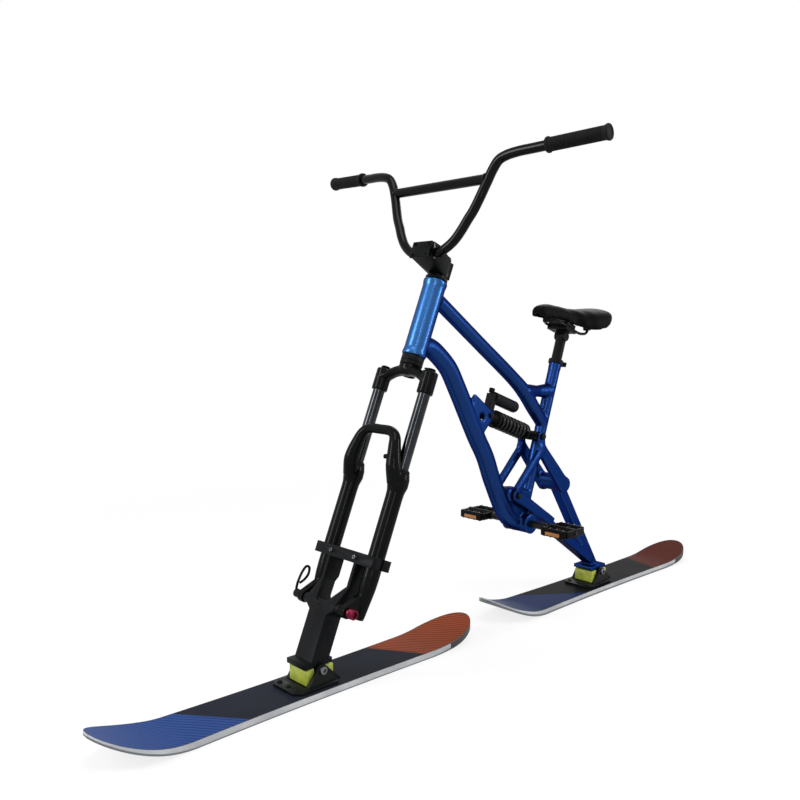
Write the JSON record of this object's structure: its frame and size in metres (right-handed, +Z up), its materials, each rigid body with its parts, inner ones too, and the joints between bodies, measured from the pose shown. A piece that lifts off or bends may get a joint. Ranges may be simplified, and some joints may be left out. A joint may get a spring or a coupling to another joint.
{
  "type": "ski bike",
  "caption": "Ski bike with a suspension fork on a steered front ski, a full-suspension frame with coil shock and swingarm on a rear ski, foot pegs and a saddle.",
  "frame": {"origin": "on the floor, midway between the tip of the front ski and the tail of the rear ski, in the bike's middle plane", "axes": "+X forward, +Y to the rider's left, +Z up"},
  "size_m": [1.669, 0.724, 0.9687],
  "materials": {
    "frame_blue": "metallic candy-blue paint",
    "satin_black": "satin black coat",
    "gloss_black": "gloss black coat",
    "polished": "polished",
    "steel": "satin",
    "spring_black": "black powder coat",
    "red_anodised": "anodised",
    "rubber_black": "ribbed, matt",
    "bumper_green": "cast elastomer, yellow-green",
    "ski_laminate": "printed topsheet, gloss",
    "plastic_black": "matt",
    "saddle_vinyl": "synthetic leather, satin"
  },
  "bodies": {
    "frame": {"main_frame": "frame_blue", "headset_lower_cup": "satin_black", "headset_upper_cup": "satin_black", "swingarm_axle": "polished", "shock_front_bolt": "polished", "peg_spindle": "steel", "seat_clamp": "satin_black"},
    "steering": {"fork_crown": "satin_black", "steerer_tube": "steel", "stanchion_left": "polished", "stanchion_right": "polished", "headset_spacer": "gloss_black", "stem": "satin_black", "stem_faceplate": "satin_black", "stem_top_cap": "satin_black", "handlebar": "gloss_black", "crossbar": "gloss_black", "grip_left": "rubber_black", "grip_right": "rubber_black"},
    "lockout_knob": {"lockout_knob": "satin_black"},
    "preload_knob": {"preload_knob": "satin_black"},
    "lowers": {"fork_lowers": "satin_black", "wiper_seal_left": "rubber_black", "wiper_seal_right": "rubber_black", "fork_rod_left": "steel", "fork_rod_right": "steel", "ski_adapter": "satin_black", "clamp_rear_bar": "satin_black", "clamp_bolt_left": "polished", "clamp_bolt_right": "polished", "front_axle": "polished", "axle_knob": "red_anodised"},
    "axle_lever": {"axle_lever": "polished"},
    "front_ski": {"front_ski": "ski_laminate", "front_ski_mount": "satin_black", "front_bumper_fore": "bumper_green", "front_bumper_aft": "bumper_green", "front_pivot_bolt": "polished"},
    "rear_ski": {"rear_ski": "ski_laminate", "rear_ski_mount": "satin_black", "rear_bumper_fore": "bumper_green", "rear_bumper_aft": "bumper_green", "rear_pivot_bolt": "polished"},
    "swingarm": {"swingarm": "frame_blue", "shock_rear_bolt": "polished"},
    "shock_body": {"shock_body": "satin_black", "shock_reservoir": "satin_black", "spring_preload_collar": "satin_black", "coil_spring": "spring_black"},
    "shock_shaft": {"shock_shaft": "satin_black"},
    "adjuster_knob": {"shock_adjuster_knob": "satin_black"},
    "pedal_left": {"pedal_left": "plastic_black"},
    "pedal_right": {"pedal_right": "plastic_black"},
    "seatpost": {"seatpost": "gloss_black", "rail_clamp": "satin_black", "saddle_rails": "satin_black", "saddle_shell": "plastic_black", "saddle_cover": "saddle_vinyl"},
    "seat_clamp_lever": {"seat_clamp_lever": "satin_black"}
  },
  "joints": [
    {"name": "steering", "type": "hinge", "parent": "frame", "child": "steering", "pos_m": [0.1805, 0, 0.5785], "axis": [-0.3843, 0, 0.9232], "range_deg": [-50, 50]},
    {"name": "fork_travel", "type": "slide", "parent": "steering", "child": "lowers", "axis": [-0.3843, 0, 0.9232], "range_m": [0, 0.07], "stiffness_N_per_m": 4500, "springref_m": -0.035},
    {"name": "front_ski_pitch", "type": "hinge", "parent": "lowers", "child": "front_ski", "pos_m": [0.4295, 0, 0.042], "axis": [0, 1, 0], "range_deg": [-6, 6], "stiffness_Nm_per_rad": 80},
    {"name": "lockout_turn", "type": "hinge", "parent": "steering", "child": "lockout_knob", "pos_m": [0.1963, 0.0624, 0.55226], "axis": [-0.3843, 0, 0.9232], "range_deg": [0, 90]},
    {"name": "preload_turn", "type": "hinge", "parent": "steering", "child": "preload_knob", "pos_m": [0.1963, -0.0624, 0.55226], "axis": [-0.3843, 0, 0.9232], "range_deg": [-170, 170]},
    {"name": "axle_lever_turn", "type": "hinge", "parent": "lowers", "child": "axle_lever", "pos_m": [0.39966, 0, 0.14569], "axis": [0, 1, 0], "range_deg": [-170, 170]},
    {"name": "swingarm_pivot", "type": "hinge", "parent": "frame", "child": "swingarm", "pos_m": [-0.1025, 0, 0.273], "axis": [0, 1, 0], "range_deg": [0, 15], "stiffness_Nm_per_rad": 320, "springref_deg": -9.17},
    {"name": "rear_ski_pitch", "type": "hinge", "parent": "swingarm", "child": "rear_ski", "pos_m": [-0.4235, 0, 0.042], "axis": [0, 1, 0], "range_deg": [-6, 6], "stiffness_Nm_per_rad": 80},
    {"name": "shock_swing", "type": "hinge", "parent": "frame", "child": "shock_body", "pos_m": [-0.0265, 0, 0.451], "axis": [0, 1, 0], "range_deg": [0, 2]},
    {"name": "shock_stroke", "type": "slide", "parent": "shock_body", "child": "shock_shaft", "axis": [0.94, 0, 0.3413], "range_m": [0, 0.038], "deforming": ["coil_spring"]},
    {"name": "damping_knob_turn", "type": "hinge", "parent": "shock_body", "child": "adjuster_knob", "pos_m": [-0.04641, 0, 0.49558], "axis": [-0.3413, 0, 0.94], "range_deg": [-170, 170]},
    {"name": "pedal_left_turn", "type": "hinge", "parent": "frame", "child": "pedal_left", "pos_m": [-0.1465, 0.115, 0.205], "axis": [0, 1, 0], "continuous": true},
    {"name": "pedal_right_turn", "type": "hinge", "parent": "frame", "child": "pedal_right", "pos_m": [-0.1465, -0.115, 0.205], "axis": [0, 1, 0], "continuous": true},
    {"name": "saddle_height", "type": "slide", "parent": "frame", "child": "seatpost", "axis": [-0.3305, 0, 0.9438], "range_m": [-0.035, 0.045]},
    {"name": "seat_clamp_lever_turn", "type": "hinge", "parent": "frame", "child": "seat_clamp_lever", "pos_m": [-0.28842, 0.0103, 0.54733], "axis": [0.3305, 0, -0.9438], "range_deg": [0, 150]}
  ],
  "couplings": [
    {"joint": "shock_swing", "follows": "swingarm_pivot", "ratio": 0.13},
    {"joint": "shock_stroke", "follows": "swingarm_pivot", "m_per_rad": 0.144}
  ]
}
